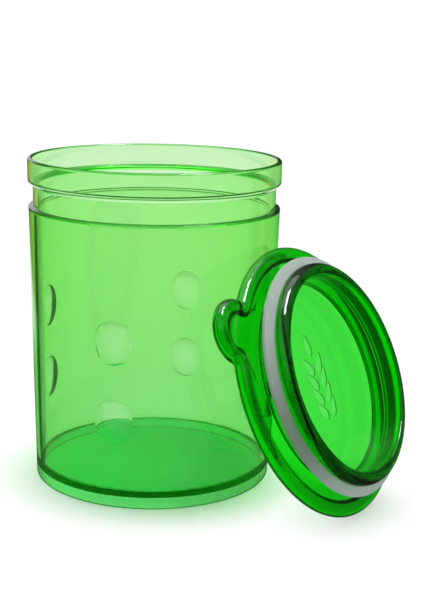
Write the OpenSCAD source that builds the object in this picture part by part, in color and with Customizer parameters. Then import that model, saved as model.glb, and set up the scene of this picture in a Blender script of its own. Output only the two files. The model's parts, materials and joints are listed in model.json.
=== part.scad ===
// Dry goods canister of clear green plastic, with its plug lid taken off and leant
// against the wall. Origin: centre of the foot ring, on the surface it stands on. +Z is up.

/* [Canister] */
// Height of the canister from the foot to the rim
canister_h = 141.5; // [110:0.5:220]
// Outer diameter of the collar band at the mouth
collar_d = 110; // [90:0.5:150]
// Height of the collar band, rim to its lower edge
collar_h = 12; // [11:0.5:18]
// How far the neck band is set in from the collar
neck_recess = 2.2; // [1:0.1:3]
// Height of the neck band between collar and shoulder
neck_h = 8.8; // [6:0.1:16]
// Outer diameter of the body at the shoulder
shoulder_d = 109.6; // [100:0.1:112]
// Outer diameter of the body at the foot
foot_d = 105; // [90:0.5:109]
// Wall of the collar and the neck
collar_wall = 2.2; // [1.6:0.1:2.8]
// Wall of the body at the shoulder
body_wall = 3.4; // [2.8:0.1:4]
// Wall of the body at the foot
foot_wall = 2.4; // [2:0.1:3.6]
// Depth of the inner seat for the gasket below the rim
seat_depth = 9.8; // [8:0.1:10.8]
// Height of the floor's underside above the table
floor_lift = 4.6; // [3:0.1:10]
// Thickness of the floor
floor_t = 2.5; // [1.5:0.1:5]
// Radius of the fillet between floor and wall
floor_fillet = 1.5; // [0.5:0.1:4]
// Radius of the rim's two edges
rim_round = 0.7; // [0.3:0.05:0.75]
// Radius of the shoulder's outer edge
shoulder_round = 0.6; // [0.3:0.1:1.8]
// Radius of the foot's outer edge
foot_round = 0.6; // [0.2:0.1:1]

/* [Grip dimples] */
// Diameter of a dimple where it meets the wall
dimple_d = 19; // [12:0.5:26]
// Depth of a dimple
dimple_depth = 1.8; // [0.8:0.1:2]
// Height of the lower row of dimples
dimple_low_z = 38; // [25:0.5:45]
// Height from the lower row to the upper row
dimple_pitch = 33.5; // [28:0.5:45]
// Number of columns of dimples round the wall
dimple_columns = 4; // [2:1:6]
// Bearing of the first column, from straight in front
dimple_turn = -18; // [-45:1:45]

/* [Lid] */
// How far the lid stands out past the collar
lid_overhang = 3; // [2:0.1:6]
// Diameter of the round bead along the lid's edge
bead_d = 6; // [5:0.1:7]
// How far the bead stands above the plate on the plug's side
plate_sink = 1.4; // [0.8:0.1:1.8]
// Thickness of the lid's plate and of its tab
plate_t = 2.4; // [2:0.1:3]
// How much thinner the panel is inside the plug
panel_sink = 0.75; // [0.3:0.05:1.2]
// Width of the step round the panel
panel_step = 0.4; // [0.2:0.1:0.8]
// Clearance between the plug and the neck
plug_gap = 3.1; // [1:0.1:4]
// Thickness of the plug's ring
plug_wall = 5.2; // [5.1:0.1:8]
// Wall of the plug's waist, between the plate and the ring
waist_wall = 2.2; // [1.6:0.1:3]
// Height of the plug above the panel
plug_h = 15; // [14.5:0.5:20]
// Radius of the plug tip's outer edge
tip_outer_round = 3.6; // [2:0.1:3.8]
// Radius of the plug tip's inner edge
tip_inner_round = 1; // [0.4:0.1:1.2]

/* [Tab] */
// Width of the pull tab
tab_w = 27.2; // [20:0.2:34]
// How far the tab stands out past the lid's edge
tab_reach = 12.8; // [11:0.2:18]
// How much the knuckle in each corner of the tab is thicker than the bead, on the radius
knuckle = 0.15; // [0.1:0.05:0.5]
// Bearing of the tab round the leaning lid, from level to the right
tab_turn = 146.6; // [110:0.2:160]

/* [Gasket] */
// How far the free lip reaches over the seat, past the neck's bore
gasket_lap = 0.8; // [0.5:0.1:1.8]
// Height of the gasket in its groove
gasket_h = 4.6; // [3.6:0.1:5]
// Depth of the groove in the plug
groove_depth = 1.2; // [0.6:0.1:2]
// Distance from the panel to the groove
groove_drop = 7.7; // [6:0.1:8]
// Thickness of the ring between the groove and the waist
groove_lip = 1.2; // [0.8:0.1:2]
// Radius of the gasket's two outer edges
lip_r = 0.9; // [0.5:0.05:1.2]
// Clearance all round the gasket in its groove
gasket_fit = 0.08; // [0.05:0.01:0.2]

/* [Leaning lid] */
// Angle of the lid back from upright
lid_lean = 23.6; // [15:0.1:35]
// Bearing of the point where the lid's edge meets the wall, from straight right
touch_bearing = -28.3; // [-60:0.1:0]
// Bearing that the lid's underside faces, from straight right
face_bearing = -34; // [-66:0.1:-4]
// Gap between the lid's edge and the wall
rest_gap = 0.5; // [0.3:0.05:1]

/* [Hidden] */
$fn = 96;
eps = 0.01;
// Straight steps in each round stretch of the canister's section
arc_steps = 8;

collar_r = collar_d / 2;
bore_r = collar_r - collar_wall;
neck_r = collar_r - neck_recess;
neck_bore_r = neck_r - collar_wall;
collar_z = canister_h - collar_h;
seat_z = canister_h - seat_depth;
shoulder_z = collar_z - neck_h;
shoulder_r = shoulder_d / 2;
foot_r = foot_d / 2;
body_bore_r = shoulder_r - body_wall;
foot_bore_r = foot_r - foot_wall;
floor_z = floor_lift + floor_t;
// Inside, the neck widens to the body below the shoulder, at 45 degrees
neck_foot_z = shoulder_z - shoulder_round;
body_top_z = neck_foot_z - (body_bore_r - neck_bore_r);

// Radius of the outer wall at a height, and of the inner wall
function wall_r(z) = foot_r + (shoulder_r - foot_r) * z / shoulder_z;
function inner_r(z) = foot_bore_r + (body_bore_r - foot_bore_r) * (z - floor_lift) / (body_top_z - floor_lift);

bead_r = bead_d / 2;
lid_r = collar_r + lid_overhang;
// The bead's centre line, round the lid and round the tab
rim_line_r = lid_r - bead_r;
tab_line_r = tab_w / 2 - bead_r;
tab_centre = lid_r + tab_reach - tab_w / 2;
// The two centre lines cross at these angles, seen from the lid's centre and from the tab's
lid_angle = acos((rim_line_r ^ 2 + tab_centre ^ 2 - tab_line_r ^ 2) / (2 * rim_line_r * tab_centre));
tab_angle = acos((tab_line_r ^ 2 + tab_centre ^ 2 - rim_line_r ^ 2) / (2 * tab_line_r * tab_centre));

// Along the lid's axis, 0 is the bead's centre line and + is towards the plug's tip
plate_under = bead_r - plate_sink;
plate_top = plate_under - plate_t;
panel_z = plate_under - panel_sink;
// Middle of the plate, where what stands on it starts
root_z = (plate_top + plate_under) / 2;
plug_r = neck_bore_r - plug_gap;
cup_r = plug_r - plug_wall;
panel_r = cup_r - panel_step;
plug_tip = panel_z + plug_h;
groove_top = panel_z + groove_drop;
waist_end = groove_top - groove_lip;
groove_r = plug_r - groove_depth;
gasket_r = neck_bore_r + gasket_lap;

// The leaning lid stands on the table on its bead and meets the wall at the bead's top
lid_z = rim_line_r * cos(lid_lean) + bead_r;
touch_z = lid_z + rim_line_r * cos(lid_lean);
touch_r = wall_r(touch_z) + rest_gap + bead_r;
lid_out = rim_line_r * sin(lid_lean);
lid_x = touch_r * cos(touch_bearing) + lid_out * cos(face_bearing);
lid_y = touch_r * sin(touch_bearing) + lid_out * sin(face_bearing);

// What a round takes off a square corner at the origin, whose solid lies towards -x and -y
module corner_off(r) {
    difference() {
        translate([-r, -r]) square(r + eps);
        translate([-r, -r]) circle(r);
    }
}

// Points of a round stretch in a section, between two angles
function arc(centre, r, from, to) =
    [for (i = [0 : arc_steps]) let (a = from + (to - from) * i / arc_steps) centre + r * [cos(a), sin(a)]];

// Half section of the canister, as drawn on its axis
module canister_section() {
    rim_z = canister_h - rim_round;
    polygon(concat(
        [[0, floor_lift], [foot_bore_r, floor_lift], [foot_bore_r, 0]],
        arc([foot_r - foot_round, foot_round], foot_round, -90, 0),
        arc([shoulder_r - shoulder_round, shoulder_z - shoulder_round], shoulder_round, 0, 90),
        [[neck_r, shoulder_z], [neck_r, collar_z], [collar_r, collar_z + neck_recess]],
        arc([collar_r - rim_round, rim_z], rim_round, 0, 90),
        arc([bore_r + rim_round, rim_z], rim_round, 90, 180),
        [[bore_r, seat_z], [neck_bore_r, seat_z], [neck_bore_r, neck_foot_z], [body_bore_r, body_top_z]],
        arc([inner_r(floor_z) - floor_fillet, floor_z + floor_fillet], floor_fillet, 0, -90),
        [[0, floor_z]]
    ));
}

// Round finger dimples, sunk into the outer wall by a ball
module dimples() {
    ball_r = (dimple_d ^ 2 / 4 + dimple_depth ^ 2) / (2 * dimple_depth);
    for (column = [0 : dimple_columns - 1], row = [0, 1]) {
        z = dimple_low_z + row * dimple_pitch;
        rotate(dimple_turn - 90 + column * 360 / dimple_columns)
            translate([wall_r(z) - dimple_depth + ball_r, 0, z]) sphere(ball_r);
    }
}

module canister() {
    color("limegreen", 0.5)
    difference() {
        rotate_extrude() canister_section();
        dimples();
    }
}

// Puts the lid's own frame where the lid leans
module leant() {
    translate([lid_x, lid_y, lid_z])
        rotate([0, 90 - lid_lean, face_bearing])
            rotate(90) children();
}

// Plate inside the bead's centre line, tab included
module lid_plate() {
    translate([0, 0, plate_top]) linear_extrude(plate_t) {
        circle(rim_line_r);
        translate([tab_centre, 0]) circle(tab_line_r);
    }
}

// Round bead along the lid's edge and the tab, with a knuckle in each corner between them
module lid_bead() {
    rotate(lid_angle)
        rotate_extrude(angle = 360 - 2 * lid_angle) translate([rim_line_r, 0]) circle(bead_r);
    translate([tab_centre, 0, 0]) rotate(tab_angle - 180)
        rotate_extrude(angle = 360 - 2 * tab_angle) translate([tab_line_r, 0]) circle(bead_r);
    for (side = [-1, 1]) rotate(side * lid_angle) translate([rim_line_r, 0, 0]) sphere(bead_r + knuckle);
}

// Half section of the plug: its waist, rooted in the plate, and its ring with the gasket's groove
module plug_section() {
    difference() {
        union() {
            translate([cup_r, root_z]) square([waist_wall, groove_top - root_z]);
            translate([cup_r, waist_end]) square([plug_wall, plug_tip - waist_end]);
        }
        translate([plug_r, plug_tip]) corner_off(tip_outer_round);
        translate([cup_r, plug_tip]) mirror([1, 0]) corner_off(tip_inner_round);
        translate([groove_r, groove_top]) square([groove_depth + eps, gasket_h]);
    }
}

module lid() {
    color("green", 0.6)
    leant() difference() {
        union() {
            rotate(tab_turn) {
                lid_plate();
                lid_bead();
            }
            rotate_extrude() plug_section();
        }
        // The panel inside the plug is sunk into the plate
        translate([0, 0, panel_z]) cylinder(r = panel_r, h = groove_drop);
    }
}

// Half section of the gasket: a flat band in the groove, with two rounded edges outside
module gasket_section() {
    band_r = groove_r + gasket_fit;
    band_top = groove_top + gasket_fit;
    band_end = groove_top + gasket_h - gasket_fit;
    edge_r = gasket_r - lip_r;
    polygon(concat(
        [[band_r, band_top]],
        arc([edge_r, band_top + lip_r], lip_r, -90, 0),
        arc([edge_r, band_end - lip_r], lip_r, 0, 90),
        [[band_r, band_end]]
    ));
}

module gasket() {
    color("gainsboro") leant() rotate_extrude() gasket_section();
}

canister();
lid();
gasket();
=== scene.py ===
"""A clear green dry goods canister, with its plug lid taken off and leant on the wall."""

import json
import math
from collections import namedtuple

import bpy
from mathutils import Matrix, Vector


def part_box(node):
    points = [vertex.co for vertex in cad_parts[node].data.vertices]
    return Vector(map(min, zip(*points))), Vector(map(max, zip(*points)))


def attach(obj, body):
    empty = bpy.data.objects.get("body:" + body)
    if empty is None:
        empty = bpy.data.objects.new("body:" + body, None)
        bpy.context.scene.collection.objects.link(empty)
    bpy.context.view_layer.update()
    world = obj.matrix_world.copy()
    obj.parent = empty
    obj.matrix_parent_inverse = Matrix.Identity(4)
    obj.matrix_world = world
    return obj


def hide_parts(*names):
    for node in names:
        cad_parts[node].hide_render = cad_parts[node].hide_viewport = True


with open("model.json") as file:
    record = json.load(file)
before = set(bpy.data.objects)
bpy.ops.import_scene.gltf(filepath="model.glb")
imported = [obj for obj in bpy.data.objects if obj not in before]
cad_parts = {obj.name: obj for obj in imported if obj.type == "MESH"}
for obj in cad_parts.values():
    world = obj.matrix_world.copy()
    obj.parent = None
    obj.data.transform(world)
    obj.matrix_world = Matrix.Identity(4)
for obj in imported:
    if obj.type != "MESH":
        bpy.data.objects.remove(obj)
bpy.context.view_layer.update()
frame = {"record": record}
scene = bpy.context.scene

# One millimetre, in the metres that the scene is built in
MM = 0.001

# The canister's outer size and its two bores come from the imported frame
MOUNTS = {mount["name"]: mount["dims"] for mount in frame["record"]["mounts"]}
CANISTER_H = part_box("canister")[1].z / MM
COLLAR_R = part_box("canister")[1].x / MM
BORE_R = MOUNTS["mouth"]["r_mm"]
FOOT_BORE_R = MOUNTS["foot_recess"]["r_mm"]
FLOOR_UNDER = MOUNTS["foot_recess"]["length_mm"]

# The rest of the canister's section, in millimetres
COLLAR_H = 12.0
NECK_RECESS = 2.2
NECK_H = 8.8
SHOULDER_R = 54.8
FOOT_R = 52.5
SEAT_DEPTH = 9.8
FLOOR_T = 2.5
BODY_WALL = 3.4
RIM_ROUND = 0.9
SHOULDER_ROUND = 0.5
FOOT_BORE_ROUND = 0.5
SEAT_ROUND = 0.3
FLOOR_ROUND = 1.5
INNER_ROUND = 0.4
OUTER_ROUND = 0.6
COLLAR_WALL = COLLAR_R - BORE_R
NECK_R = COLLAR_R - NECK_RECESS
NECK_BORE_R = NECK_R - COLLAR_WALL
BODY_BORE_R = SHOULDER_R - BODY_WALL
COLLAR_Z = CANISTER_H - COLLAR_H
SEAT_Z = CANISTER_H - SEAT_DEPTH
SHOULDER_Z = COLLAR_Z - NECK_H
FLOOR_Z = FLOOR_UNDER + FLOOR_T

# Grip dimples, in millimetres and degrees
DIMPLE_D = 19.0
DIMPLE_DEPTH = 1.6
DIMPLE_STAND = 0.4
DIMPLE_ROWS = (38.0, 71.5)
DIMPLE_COLUMNS = 4
DIMPLE_TURN = -18.0
DIMPLE_MARGIN = 11.0
DIMPLE_RING_STEP = 1.6
DIMPLE_FROM = DIMPLE_ROWS[0] - DIMPLE_MARGIN
DIMPLE_TO = DIMPLE_ROWS[1] + DIMPLE_MARGIN

# Lid, in millimetres: along its axis 0 is the bead's centre and + is towards the plug's tip
LID_OVERHANG = 3.0
BEAD_R = 3.0
PLATE_SINK = 1.4
PLATE_T = 2.4
PLATE_RING = 2.0
PANEL_SINK = 0.75
PANEL_STEP = 0.4
PLUG_GAP = 3.1
PLUG_WALL = 5.2
PLUG_H = 15.0
WAIST_WALL = 2.2
GROOVE_DROP = 6.7
GROOVE_H = 3.8
GROOVE_DEPTH = 1.2
GROOVE_LIP = 1.2
TAB_HALF_W = 13.6
TAB_REACH = 12.8
CORNER_R = 3.2
TIP_ROUND = 3.6
CUP_ROUND = 1.0
WAIST_ROUND = 0.4
PANEL_ROUND = 0.3
RING_ROUND = 0.2
GROOVE_ROUND = 0.15
CREASE_REACH = 1.2
LID_R = COLLAR_R + LID_OVERHANG
PLATE_UNDER = BEAD_R - PLATE_SINK
PLATE_TOP = PLATE_UNDER - PLATE_T
PANEL = PLATE_UNDER - PANEL_SINK
PLUG_R = NECK_BORE_R - PLUG_GAP
CUP_R = PLUG_R - PLUG_WALL
PANEL_R = CUP_R - PANEL_STEP
WAIST_R = CUP_R + WAIST_WALL
PLUG_TIP = PANEL + PLUG_H
GROOVE_TOP = PANEL + GROOVE_DROP
GROOVE_END = GROOVE_TOP + GROOVE_H
GROOVE_R = PLUG_R - GROOVE_DEPTH
WAIST_END = GROOVE_TOP - GROOVE_LIP
RIM_LINE_R = LID_R - BEAD_R
TAB_LINE_R = TAB_HALF_W - BEAD_R
TAB_CENTRE = LID_R + TAB_REACH - TAB_LINE_R - BEAD_R

# The tab's turn in degrees, and the ear of grain on the outer face in millimetres and radians
TAB_TURN = 146.6
EAR_DEPTH = 0.35
KERNEL_PAIRS = 4
KERNEL_PITCH = 6.4
KERNEL_W = 2.3
KERNEL_L = 4.8
KERNEL_SPREAD = 4.6
KERNEL_LEAN = 0.62
KERNEL_TAPER = 0.4
KERNEL_SIDES = 48
TOP_KERNEL_RISE = 0.35

# Gasket, in millimetres along the same axis
GASKET_FIT = 0.08
GASKET_LAP = 0.8
GASKET_R = NECK_BORE_R + GASKET_LAP
LIP_R = 0.9
LIP_SLOPE = 0.2
NOSE_ROUND = LIP_R * 0.6
BAND_ROUND = 0.2
BAND_END_ROUND = 0.3

# How the lid leans, in degrees and millimetres
LID_LEAN = 23.6
TOUCH_BEARING = -28.3
FACE_BEARING = -34.0
REST_GAP = 0.5

# The photograph's camera, in metres and radians
CAMERA_PLACE = (0.0, -0.5406, 0.2059)
CAMERA_PAN = 0.0498
CAMERA_TILT = 0.2319
CAMERA_ROLL = 0.0200
CAMERA_LENS = 74.8

# Distance of a ring that keeps a flat stretch flat beside a rounded corner, in millimetres
EASE = 0.3

# Fineness of arcs and of the turned and swept pieces
ARC_STEPS = 6
BEAD_STEPS = 40
TIP_STEPS = 48
TAB_STEPS = 30
CORNER_STEPS = 12
RIM_STEPS = 360
CANISTER_SEGMENTS = 504
BALL_FINENESS = 84
LID_POINTS = 420
GASKET_SEGMENTS = 300

# Colour that the plastics take on with depth, and its strength
CANISTER_TINT = (0.27, 0.93, 0.02, 1.0)
CANISTER_DENSITY = 260.0
LID_TINT = (0.0, 0.935, 0.0, 1.0)
LID_DENSITY = 1480.0

# Colours of the plastics' skin and of the shade painted on them, of the silicone, and of the floor with
# its painted green light and its patches of painted reflection
WHITE = (1.0, 1.0, 1.0, 1.0)
FLOW_SKIN = (0.985, 1.0, 0.985, 1.0)
BELOW_COLLAR_SKIN = (0.985, 0.955, 0.985, 1.0)
UPPER_WALL_PAINTED_SHADE = (0.86, 0.905, 0.87, 1.0)
LOWER_WALL_PAINTED_SHADE = (0.79, 0.865, 0.86, 1.0)
FLOOR_PAINTED_SHADE = (0.10, 0.88, 0.70, 1.0)
EDGE_PAINTED_SHADE = (0.10, 0.42, 0.10, 1.0)
LID_SKIN = (1.0, 0.86, 1.0)
CREASE_PAINTED_SHADE = (0.0, 0.04, 0.0, 1.0)
SILICONE = (0.49, 0.56, 0.53, 1.0)
DUSTY_SILICONE = (0.56, 0.63, 0.60, 1.0)
SHADED_SILICONE = (0.24, 0.34, 0.25, 1.0)
PAPER = (0.96, 0.96, 0.96, 1.0)
PALE_PAPER = (0.98, 0.98, 0.98, 1.0)
PAINTED_GREEN_LIGHT = (0.84, 0.98, 0.87, 1.0)
WARM_REFLECTED_PATCH = (1.7, 0.78, 0.5, 1.0)
DARK_REFLECTED_PATCH = (0.0, 0.09, 0.0, 1.0)

# Heights and radii, in metres, between which the canister's skin, its painted shade and the gasket's shade
# change colour
BELOW_COLLAR = (0.1215, 0.1195)
UPPER_WALL = (0.115, 0.075)
LOWER_WALL = (0.075, 0.035)
OUT_TO_WALL = (0.040, 0.046)
ABOVE_BODY = (0.100, 0.105)
EDGE_TURN = (0.05, 0.35)
EDGE_ENDS = (0.0545, 0.047, 0.25, 1.0)
GASKET_SHADE = (0.085, 0.045)
GASKET_FOOT = (0.01, 0.04)


class Wire:
    """An output socket of a node tree: arithmetic on it adds the Math nodes that work it out."""

    def __init__(self, tree, socket=None):
        self.tree = tree
        self.socket = socket

    def node(self, kind, settings=None, sockets=None, out=0):
        """Adds a node, sets it up, feeds its sockets and returns the wire of one output."""
        node = self.tree.nodes.new(kind)
        for name, value in (settings or {}).items():
            setattr(node, name, value)
        for name, value in (sockets or {}).items():
            if isinstance(value, Wire):
                self.tree.links.new(value.socket, node.inputs[name])
            else:
                node.inputs[name].default_value = value
        return Wire(self.tree, node.outputs[out])

    def of(self, name):
        """Another output of the same node."""
        return Wire(self.tree, self.socket.node.outputs[name])

    def math(self, operation, *values):
        return self.node("ShaderNodeMath", {"operation": operation}, dict(enumerate(values)))

    def __add__(self, other):
        return self.math("ADD", self, other)

    def __radd__(self, other):
        return self.math("ADD", other, self)

    def __sub__(self, other):
        return self.math("SUBTRACT", self, other)

    def __rsub__(self, other):
        return self.math("SUBTRACT", other, self)

    def __mul__(self, other):
        return self.math("MULTIPLY", self, other)

    def __rmul__(self, other):
        return self.math("MULTIPLY", other, self)


# Sections

Corner = namedtuple("Corner", "across along round step", defaults=(0.0, 0.0))


def arc_points(centre, radius, start, end, steps):
    """Points of a round stretch between two angles in radians."""
    turns = [start + (end - start) * i / steps for i in range(steps + 1)]
    return [centre + radius * Vector((math.cos(turn), math.sin(turn))) for turn in turns]


def rounded_corner(before, corner, after):
    """Points of a corner's round, or the corner itself where it has none."""
    here = Vector(corner[:2])
    if not corner.round:
        return [here]
    back = (Vector(before[:2]) - here).normalized()
    ahead = (Vector(after[:2]) - here).normalized()
    half = back.angle(ahead) / 2
    centre = here + (back + ahead).normalized() * corner.round / math.sin(half)
    first = here + back * corner.round / math.tan(half) - centre
    turn = math.copysign(math.pi - 2 * half, back.x * ahead.y - back.y * ahead.x) * -1
    start = math.atan2(first.y, first.x)
    return arc_points(centre, corner.round, start, start + turn, ARC_STEPS)


def section_points(corners, closed):
    """Points of a section: each corner with its round, and each flat stretch with its rings."""
    count = len(corners)
    bends = [rounded_corner(corners[i - 1], corner, corners[(i + 1) % count])
             for i, corner in enumerate(corners)]
    points = []
    for i, bend in enumerate(bends):
        points += bend
        if i == count - 1 and not closed:
            break
        start, end = bend[-1], bends[(i + 1) % count][0]
        length = (end - start).length
        if length > 3 * EASE:
            along = (end - start).normalized()
            inner = length - 2 * EASE
            steps = max(1, round(inner / corners[i].step)) if corners[i].step else 1
            points += [start + along * (EASE + inner * k / steps) for k in range(steps + 1)]
    return points


def wall_r(height):
    """Radius of the body's outer wall at a height."""
    return FOOT_R + (SHOULDER_R - FOOT_R) * height / SHOULDER_Z


def canister_section():
    """Half section of the canister, from the middle of its floor round to the floor again."""
    step_z = SHOULDER_Z - SHOULDER_ROUND
    return section_points([
        Corner(0.0, FLOOR_UNDER),
        Corner(FOOT_BORE_R, FLOOR_UNDER, FOOT_BORE_ROUND),
        Corner(FOOT_BORE_R, 0.0, INNER_ROUND),
        Corner(FOOT_R, 0.0, OUTER_ROUND),
        Corner(wall_r(DIMPLE_FROM), DIMPLE_FROM, 0.0, DIMPLE_RING_STEP),
        Corner(wall_r(DIMPLE_TO), DIMPLE_TO),
        Corner(SHOULDER_R, SHOULDER_Z, SHOULDER_ROUND),
        Corner(NECK_R, SHOULDER_Z, INNER_ROUND),
        Corner(NECK_R, COLLAR_Z, INNER_ROUND),
        Corner(COLLAR_R, COLLAR_Z + NECK_RECESS, OUTER_ROUND),
        Corner(COLLAR_R, CANISTER_H, RIM_ROUND),
        Corner(BORE_R, CANISTER_H, RIM_ROUND),
        Corner(BORE_R, SEAT_Z, SEAT_ROUND),
        Corner(NECK_BORE_R, SEAT_Z, INNER_ROUND),
        Corner(NECK_BORE_R, step_z, INNER_ROUND),
        Corner(BODY_BORE_R, step_z - BODY_BORE_R + NECK_BORE_R, INNER_ROUND),
        Corner(FOOT_BORE_R, FLOOR_Z, FLOOR_ROUND),
        Corner(0.0, FLOOR_Z),
    ], closed=False)


def lid_section():
    """Half section of the lid, from the middle of its outer face round to the panel's middle."""
    top_run = math.sqrt(BEAD_R ** 2 - PLATE_TOP ** 2)
    under_run = math.sqrt(BEAD_R ** 2 - PLATE_UNDER ** 2)
    bead = arc_points(Vector((RIM_LINE_R, 0.0)), BEAD_R, math.atan2(PLATE_TOP, -top_run),
                      math.atan2(PLATE_UNDER, -under_run), BEAD_STEPS)
    top = [Vector((RIM_LINE_R - top_run - EASE, PLATE_TOP))]
    under = [Vector((RIM_LINE_R - under_run - run, PLATE_UNDER)) for run in (EASE, CREASE_REACH)]
    outer = section_points([Corner(0.0, PLATE_TOP), Corner(PLUG_R, PLATE_TOP)], closed=False)
    plug = section_points([
        Corner(PLUG_R + PLATE_RING, PLATE_UNDER),
        Corner(WAIST_R, PLATE_UNDER, WAIST_ROUND),
        Corner(WAIST_R, WAIST_END, WAIST_ROUND),
        Corner(PLUG_R, WAIST_END, RING_ROUND),
        Corner(PLUG_R, GROOVE_TOP, GROOVE_ROUND),
        Corner(GROOVE_R, GROOVE_TOP, GROOVE_ROUND),
        Corner(GROOVE_R, GROOVE_END, GROOVE_ROUND),
        Corner(PLUG_R, GROOVE_END, GROOVE_ROUND),
        Corner(PLUG_R, PLUG_TIP - TIP_ROUND),
    ], closed=False)
    centre = Vector((PLUG_R - TIP_ROUND, PLUG_TIP - TIP_ROUND))
    tip = arc_points(centre, TIP_ROUND, 0.0, math.pi / 2, TIP_STEPS)
    cup = section_points([
        Corner(centre.x, PLUG_TIP),
        Corner(CUP_R, PLUG_TIP, CUP_ROUND),
        Corner(CUP_R, PLATE_UNDER, GROOVE_ROUND),
        Corner(PANEL_R, PLATE_UNDER, GROOVE_ROUND),
        Corner(PANEL_R, PANEL, PANEL_ROUND),
        Corner(0.0, PANEL),
    ], closed=False)
    return outer, top + bead + under, plug + tip[1:] + cup[1:]


def gasket_section():
    """Section of the gasket: a band in the groove, with a lip that slopes out to a round nose."""
    band_r = GROOVE_R + GASKET_FIT
    top = GROOVE_TOP + GASKET_FIT
    end = GROOVE_END - GASKET_FIT
    return section_points([
        Corner(band_r, top, BAND_ROUND),
        Corner(GASKET_R, top, LIP_R),
        Corner(GASKET_R - LIP_SLOPE, top + 2.0 * LIP_R, NOSE_ROUND),
        Corner(PLUG_R + GASKET_FIT, end, BAND_END_ROUND),
        Corner(band_r, end, BAND_ROUND),
    ], closed=True)


def lid_outline():
    """Centre line of the bead, from the tab's far side round the lid, in the lid's own plane."""
    reach = RIM_LINE_R + CORNER_R
    span = TAB_LINE_R + CORNER_R
    bearing = math.acos((reach ** 2 + TAB_CENTRE ** 2 - span ** 2) / (2 * reach * TAB_CENTRE))
    corner = reach * Vector((math.cos(bearing), math.sin(bearing)))
    tab = Vector((TAB_CENTRE, 0.0))
    swing = math.atan2(corner.y, corner.x - TAB_CENTRE)
    ahead = arc_points(tab, TAB_LINE_R, 0.0, swing, TAB_STEPS)
    upper = arc_points(corner, CORNER_R, swing - math.pi, bearing - math.pi, CORNER_STEPS)
    rim = arc_points(Vector((0.0, 0.0)), RIM_LINE_R, bearing, 2 * math.pi - bearing, RIM_STEPS)
    mirrored = Vector((corner.x, -corner.y))
    lower = arc_points(mirrored, CORNER_R, math.pi - bearing, math.pi - swing, CORNER_STEPS)
    back = arc_points(tab, TAB_LINE_R, -swing, 0.0, TAB_STEPS)
    turn = Matrix.Rotation(math.radians(TAB_TURN), 2)
    loop = ahead[:-1] + upper[:-1] + rim[:-1] + lower[:-1] + back[:-1]
    return [turn @ point for point in loop]


def polyline(name, points, closed, attributes=None):
    """A mesh of one line of points, given in millimetres, with a number for each point."""
    mesh = bpy.data.meshes.new(name)
    edges = [(i, i + 1) for i in range(len(points) - 1)]
    if closed:
        edges.append((len(points) - 1, 0))
    mesh.from_pydata([(p.x * MM, p.y * MM, 0.0) for p in points], edges, [])
    for label, values in (attributes or {}).items():
        mesh.attributes.new(label, "FLOAT", "POINT").data.foreach_set("value", values)
    return mesh


# Geometry Nodes trees

def geometry_tree(name, inputs):
    """A new tree with a Geometry input, the named inputs and a Geometry output."""
    tree = bpy.data.node_groups.new(name, "GeometryNodeTree")
    tree.interface.new_socket("Geometry", in_out="INPUT", socket_type="NodeSocketGeometry")
    for label, kind in inputs.items():
        tree.interface.new_socket(label, in_out="INPUT", socket_type="NodeSocket" + kind)
    tree.interface.new_socket("Geometry", in_out="OUTPUT", socket_type="NodeSocketGeometry")
    return Wire(tree).node("NodeGroupInput", out="Geometry")


def welded(shape):
    """Joins the seams and the pole points that a sweep leaves open."""
    return shape.node("GeometryNodeMergeByDistance", sockets={"Geometry": shape, "Distance": 1e-6})


def close_tree(shape, material, creases=None):
    """Smooths what the tree has made, keeps its creases, gives it its material and puts it out."""
    smooth = shape.node("GeometryNodeSetShadeSmooth", sockets={"Geometry": shape})
    if creases:
        smooth = shape.node("GeometryNodeSetShadeSmooth", {"domain": "EDGE"}, {
            "Geometry": smooth, "Selection": creases, "Shade Smooth": False})
    real = smooth.node("GeometryNodeRealizeInstances", sockets={"Geometry": smooth})
    dressed = real.node("GeometryNodeSetMaterial", sockets={"Geometry": real, "Material": material})
    end = dressed.tree.nodes.new("NodeGroupOutput")
    dressed.tree.links.new(dressed.socket, end.inputs["Geometry"])


def less(shape, tool, solver):
    """Takes one closed shape off another."""
    return shape.node("GeometryNodeMeshBoolean", {"operation": "DIFFERENCE", "solver": solver}, {
        "Mesh 1": shape, "Mesh 2": tool})


def swept(path, section):
    """Sweeps a section along a level path: its first coordinate is outwards, its second is down."""
    upright = path.node("GeometryNodeSetCurveNormal", {"mode": "Z_UP"}, {"Curve": path})
    profile = section.node("GeometryNodeMeshToCurve", sockets={"Mesh": section})
    sheet = upright.node("GeometryNodeCurveToMesh", sockets={"Curve": upright, "Profile Curve": profile})
    return sheet.node("GeometryNodeFlipFaces", sockets={"Mesh": sheet})


def ring_tree():
    """Turns a section into a ring or a bowl about the upright axis."""
    start = geometry_tree("turned_ring", {
        "Path radius": "Float", "Segments": "Int", "Material": "Material"})
    circle = start.node("GeometryNodeCurvePrimitiveCircle", sockets={
        "Resolution": start.of("Segments"), "Radius": start.of("Path radius")})
    close_tree(welded(swept(circle, start)), start.of("Material"))
    return start.tree


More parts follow.
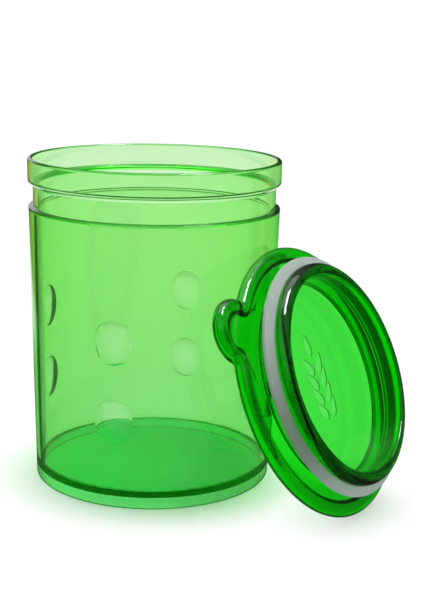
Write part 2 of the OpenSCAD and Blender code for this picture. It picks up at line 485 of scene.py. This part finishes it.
def canister_tree():
    """Turns the canister's section about its axis and sinks rows of finger dimples with balls."""
    start = geometry_tree("turned_canister", {
        "Path radius": "Float", "Segments": "Int", "Dimple ball": "Float", "Dimple stand": "Float",
        "Dimple columns": "Int", "First column": "Float", "Lower row": "Float", "Upper row": "Float",
        "Foot radius": "Float", "Flare": "Float", "Dimple flatness": "Float", "Ball fineness": "Int",
        "Material": "Material"})
    circle = start.node("GeometryNodeCurvePrimitiveCircle", sockets={
        "Resolution": start.of("Segments"), "Radius": start.of("Path radius")})
    shell = welded(swept(circle, start))
    ball = start.of("Dimple ball")
    sphere = start.node("GeometryNodeMeshUVSphere", sockets={
        "Segments": start.of("Ball fineness"), "Rings": start.of("Ball fineness"), "Radius": ball})
    place = start.node("GeometryNodeInputPosition")
    level = start.node("ShaderNodeVectorMath", {"operation": "MULTIPLY"}, {0: place, 1: (1.0, 1.0, 0.0)})
    aim = start.node("FunctionNodeAlignRotationToVector", {"axis": "X", "pivot_axis": "Z"}, {
        "Vector": level})
    flatten = start.node("ShaderNodeCombineXYZ", sockets={
        "X": start.of("Dimple flatness"), "Y": 1.0, "Z": 1.0})
    for row in ("Lower row", "Upper row"):
        height = start.of(row)
        reach = start.of("Foot radius") + height * start.of("Flare") + start.of("Dimple stand")
        ring = start.node("GeometryNodeMeshCircle", sockets={
            "Vertices": start.of("Dimple columns"), "Radius": reach})
        lift = start.node("ShaderNodeCombineXYZ", sockets={"Z": height})
        spin = start.node("ShaderNodeCombineXYZ", sockets={"Z": start.of("First column")})
        points = start.node("GeometryNodeTransform", sockets={
            "Geometry": ring, "Translation": lift, "Rotation": spin})
        balls = start.node("GeometryNodeInstanceOnPoints", sockets={
            "Points": points, "Instance": sphere, "Rotation": aim, "Scale": flatten})
        tools = start.node("GeometryNodeRealizeInstances", sockets={"Geometry": balls})
        shell = less(shell, tools, "EXACT")
    bend = start.node("GeometryNodeInputMeshEdgeAngle", out="Unsigned Angle")
    height = start.node("ShaderNodeSeparateXYZ", sockets={"Vector": place}, out="Z")
    middle = (start.of("Lower row") + start.of("Upper row")) * 0.5
    creases = start.math("GREATER_THAN", bend, 0.2) * start.math("COMPARE", height, middle, middle * 0.55)
    close_tree(shell, start.of("Material"), creases)
    return start.tree


def ear_of_grain(start):
    """Tools for a flat ear of grain: kernels in pairs up a line with one on top, apart from one another.
    """
    kernel = start.node("GeometryNodeMeshCylinder", sockets={
        "Vertices": KERNEL_SIDES, "Radius": 1.0, "Depth": 2.0}, out="Mesh")
    place = start.node("GeometryNodeInputPosition")
    axes = start.node("ShaderNodeSeparateXYZ", sockets={"Vector": place}, out="X")
    taper = start.node("ShaderNodeCombineXYZ", sockets={
        "X": axes * (1.0 - axes.of("Y") * KERNEL_TAPER) * start.of("Kernel width"),
        "Y": axes.of("Y") * start.of("Kernel length"), "Z": axes.of("Z") * start.of("Cut depth")})
    kernel = start.node("GeometryNodeSetPosition", sockets={"Geometry": kernel, "Position": taper})
    join = start.tree.nodes.new("GeometryNodeJoinGeometry")
    pitch = start.of("Kernel pitch")
    for side in (-1.0, 0.0, 1.0):
        count = start.of("Kernel pairs") if side else 1
        half = pitch * start.of("Kernel pairs") * 0.5
        first = 0.0 - half if side else half + pitch * TOP_KERNEL_RISE
        origin = start.node("ShaderNodeCombineXYZ", sockets={
            "X": start.of("Kernel spread") * side, "Y": first, "Z": start.of("Face height")})
        step = start.node("ShaderNodeCombineXYZ", sockets={"Y": pitch})
        line = start.node("GeometryNodeMeshLine", sockets={
            "Count": count, "Start Location": origin, "Offset": step})
        turn = start.node("ShaderNodeCombineXYZ", sockets={"Z": start.of("Kernel lean") * -side})
        grains = start.node("GeometryNodeInstanceOnPoints", sockets={
            "Points": line, "Instance": kernel, "Rotation": turn})
        start.tree.links.new(grains.socket, join.inputs["Geometry"])
    ear = Wire(start.tree, join.outputs["Geometry"])
    return start.node("GeometryNodeRealizeInstances", sockets={"Geometry": ear})


def lid_tree():
    """Sweeps the lid's section along its outline, and draws the plate and the plug in to circles."""
    start = geometry_tree("swept_lid", {
        "Outline": "Object", "Points": "Int", "Kernel pairs": "Int", "Kernel pitch": "Float",
        "Kernel width": "Float", "Kernel length": "Float", "Kernel spread": "Float",
        "Kernel lean": "Float", "Face height": "Float", "Cut depth": "Float", "Material": "Material"})
    outline = start.node("GeometryNodeObjectInfo", sockets={"Object": start.of("Outline")}, out="Geometry")
    line = start.node("GeometryNodeMeshToCurve", sockets={"Mesh": outline})
    even = start.node("GeometryNodeResampleCurve", sockets={"Curve": line, "Count": start.of("Points")})
    along = start.node("GeometryNodeSplineParameter", out="Factor")
    marked = start.node("GeometryNodeStoreNamedAttribute", {"domain": "POINT"}, {
        "Geometry": even, "Name": "turn", "Value": along * (2 * math.pi)})
    shell = swept(marked, start)
    circle_r = start.node("GeometryNodeInputNamedAttribute", sockets={"Name": "circle_r"})
    turn = start.node("GeometryNodeInputNamedAttribute", sockets={"Name": "turn"})
    turn = turn + math.radians(TAB_TURN)
    place = start.node("GeometryNodeInputPosition")
    height = start.node("ShaderNodeSeparateXYZ", sockets={"Vector": place}, out="Z")
    round_place = start.node("ShaderNodeCombineXYZ", sockets={
        "X": circle_r * start.math("COSINE", turn), "Y": circle_r * start.math("SINE", turn), "Z": height})
    is_round = start.node("FunctionNodeCompare", {"operation": "GREATER_EQUAL"}, {"A": circle_r, "B": 0.0})
    drawn = start.node("GeometryNodeSetPosition", sockets={
        "Geometry": shell, "Selection": is_round, "Position": round_place})
    bend = start.node("GeometryNodeInputMeshEdgeAngle", out="Unsigned Angle")
    near = start.math("COMPARE", height, start.of("Face height"), start.of("Cut depth") * 1.5)
    inside = start.math("LESS_THAN", start.node("ShaderNodeVectorMath", {"operation": "LENGTH"},
                                                {0: place}, out="Value"), 0.03)
    creases = start.math("GREATER_THAN", bend, 0.5) * near * inside
    close_tree(less(welded(drawn), ear_of_grain(start), "MANIFOLD"), start.of("Material"), creases)
    return start.tree


def made(name, section, tree, values):
    """Runs a tree on a section and returns a plain mesh object of what it makes."""
    maker = bpy.data.objects.new(name + "_maker", section)
    scene.collection.objects.link(maker)
    modifier = maker.modifiers.new("maker", "NODES")
    modifier.node_group = tree
    for item in tree.interface.items_tree:
        if item.in_out == "INPUT" and item.name in values:
            modifier[item.identifier] = values[item.name]
    graph = bpy.context.evaluated_depsgraph_get()
    mesh = bpy.data.meshes.new_from_object(maker.evaluated_get(graph))
    bpy.data.objects.remove(maker)
    mesh.name = name
    piece = bpy.data.objects.new(name, mesh)
    scene.collection.objects.link(piece)
    return piece


def lid_frame():
    """Where the leaning lid's own frame lies: it stands on its bead and meets the wall."""
    lean = math.radians(LID_LEAN)
    touch = math.radians(TOUCH_BEARING)
    face = math.radians(FACE_BEARING)
    height = RIM_LINE_R * math.cos(lean) + BEAD_R
    touch_z = height + RIM_LINE_R * math.cos(lean)
    touch_r = wall_r(touch_z) + REST_GAP + BEAD_R
    out = RIM_LINE_R * math.sin(lean)
    centre = Vector((touch_r * math.cos(touch) + out * math.cos(face),
                     touch_r * math.sin(touch) + out * math.sin(face), height))
    turn = (Matrix.Rotation(face, 4, "Z") @ Matrix.Rotation(math.pi / 2 - lean, 4, "Y")
            @ Matrix.Rotation(math.pi / 2, 4, "Z"))
    return Matrix.Translation(centre * MM) @ turn


# Materials

def new_material(name):
    """A new node material, with a wire to start from and its output node."""
    material = bpy.data.materials.new(name)
    material.use_nodes = True
    material.node_tree.nodes.clear()
    return material, Wire(material.node_tree), material.node_tree.nodes.new("ShaderNodeOutputMaterial")


def clear_plastic(name, tint, density, colour_of):
    """Polished clear plastic: colour comes from the depth of plastic that light passes through, and from a
    skin colour, with painted shade, given by colour_of.
    """
    material, start, output = new_material(name)
    place = start.node("ShaderNodeTexCoord", out="Object")
    haze = start.node("ShaderNodeTexNoise", sockets={"Vector": place, "Scale": 160.0, "Detail": 3.0})
    flow = start.node("ShaderNodeTexNoise", sockets={"Vector": place, "Scale": 35.0, "Detail": 1.0})
    skin = start.node("ShaderNodeMix", {"data_type": "RGBA"}, {
        "Factor": flow, "A": FLOW_SKIN, "B": WHITE}, out="Result")
    skin = colour_of(start, place, skin)
    ripple = start.node("ShaderNodeBump", sockets={"Strength": 0.03, "Distance": 0.0004, "Height": flow})
    surface = start.node("ShaderNodeBsdfPrincipled", sockets={
        "Base Color": skin, "Roughness": haze * 0.02, "Transmission Weight": 1.0, "IOR": 1.53,
        "Normal": ripple})
    depth = start.node("ShaderNodeVolumeAbsorption", sockets={"Color": tint, "Density": density})
    material.node_tree.links.new(surface.socket, output.inputs["Surface"])
    material.node_tree.links.new(depth.socket, output.inputs["Volume"])
    return material


def mixed(first, second, factor):
    """A colour between two colours."""
    return factor.node("ShaderNodeMix", {"data_type": "RGBA"}, {
        "Factor": factor, "A": first, "B": second}, out="Result")


def ramp(value, low, high, start=0.0, end=1.0):
    """A smooth climb of one value from a start to an end, between two places."""
    return value.node("ShaderNodeMapRange", {"interpolation_type": "SMOOTHSTEP"}, {
        "Value": value, "From Min": low, "From Max": high, "To Min": start, "To Max": end})


def canister_colour(start, place, skin):
    """Painted shade: deeper green in the floor and low in the wall, and dark green on the edges that face
    up.
    """
    axes = start.node("ShaderNodeSeparateXYZ", sockets={"Vector": place}, out="X")
    height = axes.of("Z")
    level = start.node("ShaderNodeVectorMath", {"operation": "MULTIPLY"}, {0: place, 1: (1.0, 1.0, 0.0)})
    radius = start.node("ShaderNodeVectorMath", {"operation": "LENGTH"}, {0: level}, out="Value")
    # Painted shade: the floor plate turns deeper green, for the shaded table seen through it
    base = (ramp(height, (FLOOR_Z + 1.0) * MM, (FLOOR_Z + 0.3) * MM)
            * ramp(radius, (FOOT_BORE_R - 0.4) * MM, (FOOT_BORE_R - 1.4) * MM))
    walls = ramp(radius, *OUT_TO_WALL)
    skin = mixed(skin, BELOW_COLLAR_SKIN, ramp(height, *BELOW_COLLAR) * walls)
    # Painted shade: the wall darkens towards the bottom
    skin = mixed(skin, UPPER_WALL_PAINTED_SHADE, ramp(height, *UPPER_WALL) * walls)
    skin = mixed(skin, LOWER_WALL_PAINTED_SHADE, ramp(height, *LOWER_WALL) * walls)
    skin = mixed(skin, FLOOR_PAINTED_SHADE, base)
    # Painted shade: faces that look up above the body, on the shoulder, collar and rim, turn dark green,
    # less so at the far left and right
    skin_side = start.node("ShaderNodeNewGeometry", out="Normal")
    upward = start.node("ShaderNodeSeparateXYZ", sockets={"Vector": skin_side}, out="Z")
    edges = ramp(upward, *EDGE_TURN) * ramp(height, *ABOVE_BODY)
    edges = edges * ramp(start.math("ABSOLUTE", axes), *EDGE_ENDS)
    return mixed(skin, EDGE_PAINTED_SHADE, edges)


def lid_colour(start, place, skin):
    """A slightly deeper skin, and a dark line of painted shade in the crease where the bead meets the
    plate.
    """
    crease = start.node("ShaderNodeAttribute", {"attribute_name": "crease"}, out="Fac")
    skin = start.node("ShaderNodeVectorMath", {"operation": "MULTIPLY"}, {0: skin, 1: LID_SKIN})
    return mixed(skin, CREASE_PAINTED_SHADE, ramp(crease, 0.1, 0.6))


def silicone(name):
    """Pale satin silicone with a faint bloom of dust, deeper where the lid's plate shades it."""
    material, start, output = new_material(name)
    place = start.node("ShaderNodeTexCoord", out="Object")
    bloom = start.node("ShaderNodeTexNoise", sockets={"Vector": place, "Scale": 90.0, "Detail": 4.0})
    grain = start.node("ShaderNodeTexNoise", sockets={"Vector": place, "Scale": 2500.0, "Detail": 2.0})
    colour = start.node("ShaderNodeMix", {"data_type": "RGBA"}, {
        "Factor": bloom, "A": SILICONE, "B": DUSTY_SILICONE}, out="Result")
    height = start.node("ShaderNodeSeparateXYZ", sockets={"Vector": place}, out="Z")
    shade = ramp(height, *GASKET_SHADE) * ramp(height, *GASKET_FOOT)
    colour = mixed(colour, SHADED_SILICONE, shade)
    bump = start.node("ShaderNodeBump", sockets={"Strength": 0.15, "Distance": 0.0001, "Height": grain})
    surface = start.node("ShaderNodeBsdfPrincipled", sockets={
        "Base Color": colour, "Roughness": 0.42 + bloom * 0.2, "Normal": bump, "IOR": 1.41,
        "Transmission Weight": 0.2})
    material.node_tree.links.new(surface.socket, output.inputs["Surface"])
    return material


canister_plastic = clear_plastic("clear_green_canister", CANISTER_TINT, CANISTER_DENSITY, canister_colour)
lid_plastic = clear_plastic("clear_green_lid", LID_TINT, LID_DENSITY, lid_colour)
gasket_silicone = silicone("pale_silicone")

# Pieces

BALL_BULGE = DIMPLE_DEPTH + DIMPLE_STAND
BALL_R = DIMPLE_D / 2 / math.sqrt(1 - (DIMPLE_STAND / BALL_BULGE) ** 2)


def profile(points, radius):
    """A section's points about the path that they are swept along, where a profile runs downwards."""
    return [Vector((p.x - radius, -p.y)) for p in points]


def make_canister():
    section = polyline("canister_section", profile(canister_section(), COLLAR_R), closed=False)
    return made("canister_shell", section, canister_tree(), {
        "Path radius": COLLAR_R * MM, "Segments": CANISTER_SEGMENTS,
        "Dimple ball": BALL_R * MM, "Dimple flatness": BALL_BULGE / BALL_R, "Ball fineness": BALL_FINENESS,
        "Dimple stand": DIMPLE_STAND * MM, "Dimple columns": DIMPLE_COLUMNS,
        "First column": math.radians(DIMPLE_TURN - 90), "Lower row": DIMPLE_ROWS[0] * MM,
        "Upper row": DIMPLE_ROWS[1] * MM, "Foot radius": FOOT_R * MM,
        "Flare": (SHOULDER_R - FOOT_R) / SHOULDER_Z, "Material": canister_plastic})


def make_lid():
    outer, edge, plug = lid_section()
    points = outer + edge + plug
    circle_r = [p.x * MM for p in outer] + [-1.0] * len(edge) + [p.x * MM for p in plug]
    corners = (edge[0], edge[-2])
    # Mask for the painted shade in the crease, falling off away from where the bead meets the plate
    crease = [max(1 - (p - corner).length / CREASE_REACH for corner in corners) for p in points]
    section = polyline("lid_section", profile(points, RIM_LINE_R), False, {
        "circle_r": circle_r, "crease": crease})
    outline = bpy.data.objects.new("lid_outline", polyline("lid_outline", lid_outline(), closed=True))
    scene.collection.objects.link(outline)
    lid = made("lid_shell", section, lid_tree(), {
        "Outline": outline, "Points": LID_POINTS, "Kernel pairs": KERNEL_PAIRS,
        "Kernel pitch": KERNEL_PITCH * MM, "Kernel width": KERNEL_W * MM,
        "Kernel length": KERNEL_L * MM, "Kernel spread": KERNEL_SPREAD * MM,
        "Kernel lean": KERNEL_LEAN, "Face height": PLATE_TOP * MM, "Cut depth": EAR_DEPTH * MM,
        "Material": lid_plastic})
    bpy.data.objects.remove(outline)
    lid.data.transform(lid_frame())
    return lid


def make_gasket():
    path_r = (GROOVE_R + GASKET_R) / 2
    section = polyline("gasket_section", profile(gasket_section(), path_r), closed=True)
    gasket = made("gasket_ring", section, ring_tree(), {
        "Path radius": path_r * MM, "Segments": GASKET_SEGMENTS, "Material": gasket_silicone})
    gasket.data.transform(lid_frame())
    return gasket


canister = make_canister()
lid = make_lid()
gasket = make_gasket()
for piece, node, body, slot in (
        (canister, "canister", "canister", "canister_plastic"),
        (lid, "lid", "lid", "lid_plastic"),
        (gasket, "gasket", "lid", "gasket_silicone")):
    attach(piece, body)
    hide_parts(node)

# Camera, floor and light

camera = bpy.data.objects.new("photo_camera", bpy.data.cameras.new("photo_camera"))
camera.data.lens = CAMERA_LENS
camera.matrix_world = (Matrix.Translation(CAMERA_PLACE) @ Matrix.Rotation(-CAMERA_PAN, 4, "Z")
                       @ Matrix.Rotation(math.pi / 2 - CAMERA_TILT, 4, "X")
                       @ Matrix.Rotation(CAMERA_ROLL, 4, "Z"))
scene.collection.objects.link(camera)
scene.camera = camera


# The wall's left edge, from which the dark and warm patches of painted reflection on the floor are laid
# out by their bearing and reach
REFLECTED_PATCH_EDGE = (-0.053, -0.0135, 0.0)
DARK_DRIFT = 0.13
DARK_FROM = (0.46, 0.50)
DARK_TO = (0.98, 0.88)
DARK_END = (0.95, 0.80)
WARM_REACH = (0.26, 0.40)
WARM_FROM = (-0.15, -0.05)
WARM_TO = (0.56, 0.50)

# The floor, in metres: its size, the green light painted into its colour round the foot, and its glow to
# the camera
FLOOR_HALF = 6.0
FOOT_LIGHT = (0.085, 0.050)
GLOW = 1.05
GLOW_THROUGH = 0.1
GLOW_BY_FOOT = (0.050, 0.085, 0.2, 0.94)
GLOW_BY_LID = (0.0, 0.05, 0.45, 0.94)

# What a mirrored ray meets on the floor: pale far behind, and dim elsewhere
MIRROR_BACK = (0.12, 0.3)
MIRROR_SIDE = (0.26, 0.17)
MIRROR_PALE = 0.94
MIRROR_DIM = 0.06

# The world by direction: its light on the object, and what a mirrored ray meets above and low left
LIGHT_BEHIND = (-0.7, 0.6, 0.45, 1.3)
MIRROR_ABOVE = (0.35, 0.8, 0.05, 0.35)
PANEL_LEFT = (-0.05, -0.11)
PANEL_LOW = (0.36, 0.26)
PANEL_BEHIND = (0.5, 0.8)
PANEL_LEVEL = 0.9
BOUNCE_GAIN = 1.6


def surroundings(start, place):
    """Where the clear walls' inner reflections meet the dark and warm patches of painted reflection on the
    floor, behind on the left.
    """
    way = start.node("ShaderNodeVectorMath", {"operation": "SUBTRACT"}, {0: place, 1: REFLECTED_PATCH_EDGE})
    reach = start.node("ShaderNodeVectorMath", {"operation": "LENGTH"}, {0: way}, out="Value")
    axes = start.node("ShaderNodeSeparateXYZ", sockets={"Vector": way}, out="X")
    bearing = start.math("ARCTAN2", 0.0 - axes, axes.of("Y"))
    dark = ramp(bearing - reach * DARK_DRIFT, *DARK_FROM) * ramp(bearing, *DARK_TO)
    dark = dark * ramp(reach, *DARK_END)
    warm = ramp(reach, *WARM_REACH) * ramp(bearing, *WARM_FROM) * ramp(bearing, *WARM_TO)
    return dark, warm


def make_floor():
    """A pale floor that runs out of sight: white to the camera, dim where it is mirrored."""
    mesh = bpy.data.meshes.new("floor")
    corners = [(x * FLOOR_HALF, y * FLOOR_HALF, 0) for x, y in ((-1, -1), (1, -1), (1, 1), (-1, 1))]
    mesh.from_pydata(corners, [], [(0, 1, 2, 3)])
    floor = bpy.data.objects.new("floor", mesh)
    scene.collection.objects.link(floor)
    material, start, output = new_material("pale_floor")
    place = start.node("ShaderNodeTexCoord", out="Object")
    mottle = start.node("ShaderNodeTexNoise", sockets={"Vector": place, "Scale": 3.0})
    white = start.node("ShaderNodeMix", {"data_type": "RGBA"}, {
        "Factor": mottle, "A": PAPER, "B": PALE_PAPER}, out="Result")
    reach = start.node("ShaderNodeVectorMath", {"operation": "LENGTH"}, {0: place}, out="Value")
    # Painted light: the floor's colour turns green round the canister's foot, for light that came through
    # the plastic
    white = mixed(white, PAINTED_GREEN_LIGHT, ramp(reach, *FOOT_LIGHT))
    matt = start.node("ShaderNodeBsdfDiffuse", sockets={"Color": white})
    glow = start.node("ShaderNodeEmission", sockets={"Color": WHITE, "Strength": GLOW})
    axes = start.node("ShaderNodeSeparateXYZ", sockets={"Vector": place}, out="X")
    far = ramp(axes.of("Y"), *MIRROR_BACK) * ramp(start.math("ABSOLUTE", axes), *MIRROR_SIDE)
    dim = start.node("ShaderNodeEmission", sockets={
        "Color": far * MIRROR_PALE + MIRROR_DIM, "Strength": 1.0})
    ray = start.node("ShaderNodeLightPath", out="Is Camera Ray")
    mirrored = ray.of("Is Glossy Ray") * (1.0 - ray.of("Is Transmission Ray"))
    lid_foot = lid_frame() @ Vector((0, -RIM_LINE_R * MM, 0))
    lid_reach = start.node("ShaderNodeVectorMath", {"operation": "DISTANCE"},
                           {0: place, 1: (lid_foot.x, lid_foot.y, 0.0)}, out="Value")
    # Painted shadow place: the glow is held back near the canister's foot and where the lid's bead rests,
    # so the floor's shade shows and reads darker there, also when the lid is away
    clear_floor = start.math("MINIMUM", ramp(reach, *GLOW_BY_FOOT), ramp(lid_reach, *GLOW_BY_LID))
    glowing = ray * clear_floor + ray.of("Is Transmission Ray") * GLOW_THROUGH
    seen = start.node("ShaderNodeMixShader", sockets={0: glowing, 1: matt, 2: glow})
    sheet = start.node("ShaderNodeMixShader", sockets={0: mirrored, 1: seen, 2: dim})
    dark, warm = surroundings(start, place)
    # Painted reflection: the floor shows the dark and warm patches only to rays that were reflected inside
    # the clear walls
    inner = ray.of("Is Transmission Ray") * start.math("GREATER_THAN", ray.of("Glossy Depth"), 0.5)
    reflected_patch = start.node("ShaderNodeEmission", sockets={
        "Color": mixed(WARM_REFLECTED_PATCH, DARK_REFLECTED_PATCH, dark), "Strength": 1.0})
    sheet = start.node("ShaderNodeMixShader", sockets={
        0: inner * start.math("MAXIMUM", dark, warm), 1: sheet, 2: reflected_patch})
    material.node_tree.links.new(sheet.socket, output.inputs["Surface"])
    mesh.materials.append(material)


make_floor()


def make_world():
    """A white studio, dim where it is mirrored apart from overhead and a panel low on the left."""
    world = bpy.data.worlds.new("studio")
    world.use_nodes = True
    world.node_tree.nodes.clear()
    start = Wire(world.node_tree)
    way = start.node("ShaderNodeTexCoord", out="Generated")
    axes = start.node("ShaderNodeSeparateXYZ", sockets={"Vector": way}, out="X")
    behind = ramp(axes.of("Y"), *LIGHT_BEHIND)
    above = ramp(axes.of("Z"), *MIRROR_ABOVE)
    panel = (ramp(axes, *PANEL_LEFT) * ramp(axes.of("Z"), *PANEL_LOW)
             * ramp(axes.of("Y"), *PANEL_BEHIND))
    ray = start.node("ShaderNodeLightPath", out="Is Camera Ray")
    through = start.math("MAXIMUM", ray, ray.of("Is Transmission Ray"))
    mirrored = ray.of("Is Glossy Ray") * (1.0 - through)
    lit = (1.0 - through) * (1.0 - mirrored)
    bounced = start.math("GREATER_THAN", ray.of("Diffuse Depth"), 0.5)
    level = (through * (1.0 + bounced * BOUNCE_GAIN) + mirrored * (above + panel * PANEL_LEVEL)
             + lit * behind)
    white = start.node("ShaderNodeBackground", sockets={"Color": level, "Strength": 1.0})
    output = world.node_tree.nodes.new("ShaderNodeOutputWorld")
    world.node_tree.links.new(white.socket, output.inputs["Surface"])
    scene.world = world


make_world()


def softbox(name, place, aim, size, level):
    """A flat light that the camera does not see, whose face is level times white."""
    data = bpy.data.lights.new(name, "AREA")
    data.shape = "RECTANGLE"
    data.size, data.size_y = size
    data.energy = level * math.pi * size[0] * size[1]
    light = bpy.data.objects.new(name, data)
    light.location = place
    light.rotation_euler = (Vector(aim) - Vector(place)).to_track_quat("-Z", "Y").to_euler()
    light.visible_camera = False
    scene.collection.objects.link(light)
    return light


softbox("overhead", place=(0.1, 0.25, 0.95), aim=(0.03, 0.0, 0.05), size=(0.9, 0.7), level=1.7)

# A lamp for the highlights alone, which only a first reflection shows
gleam = softbox("gleam", place=(0.28, -0.02, 0.85), aim=(0.05, -0.05, 0.07), size=(0.34, 0.24), level=20.0)
gleam.visible_diffuse = False
gleam.visible_transmission = False
gleam.data.use_nodes = True
gleam_tree = gleam.data.node_tree
gleam_start = Wire(gleam_tree)
once = gleam_start.math("LESS_THAN", gleam_start.node("ShaderNodeLightPath", out="Glossy Depth"), 1.5)
shine = gleam_start.node("ShaderNodeEmission", sockets={"Strength": once})
gleam_tree.links.new(shine.socket, gleam_tree.nodes["Light Output"].inputs["Surface"])

scene.view_settings.view_transform = "Standard"
scene.cycles.max_bounces = 32
scene.cycles.transmission_bounces = 32
scene.cycles.glossy_bounces = 16
